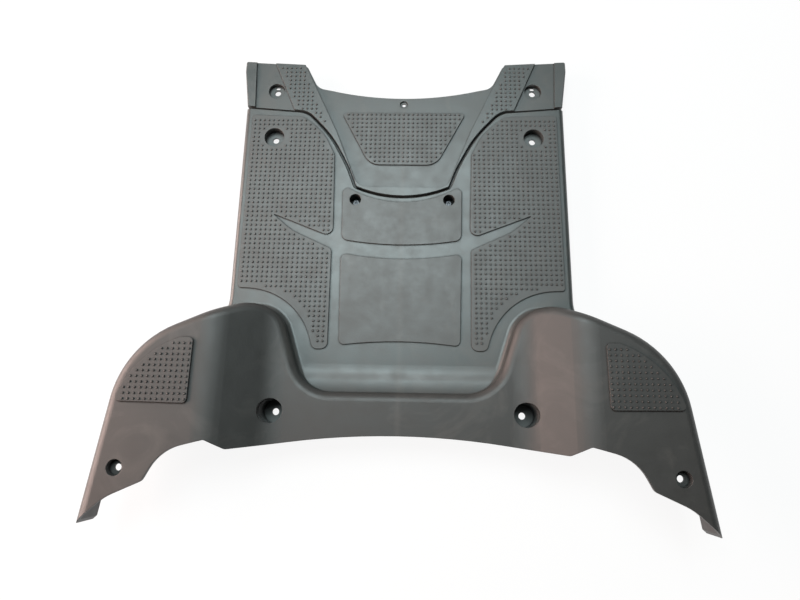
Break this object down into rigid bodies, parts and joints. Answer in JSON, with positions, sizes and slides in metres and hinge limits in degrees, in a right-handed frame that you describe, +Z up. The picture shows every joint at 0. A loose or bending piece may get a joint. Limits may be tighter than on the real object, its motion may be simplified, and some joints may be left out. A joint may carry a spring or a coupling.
{
  "type": "scooter floorboard",
  "caption": "Moulded scooter floorboard with a flat foot area, raised rear band, flared passenger wings and grip pads, and a separate horned front panel screwed to it.",
  "frame": {"origin": "centre of the overall box at the foot of the side skirts", "axes": "+X across the board, +Y to the front of the scooter, +Z up"},
  "size_m": [0.5436, 0.48, 0.069],
  "materials": {
    "board_plastic": "fine grained, unpainted",
    "screw_steel": "dull plated"
  },
  "bodies": {
    "root": {"floorboard": "board_plastic", "front_panel": "board_plastic", "joining_screws": "screw_steel"}
  },
  "joints": []
}
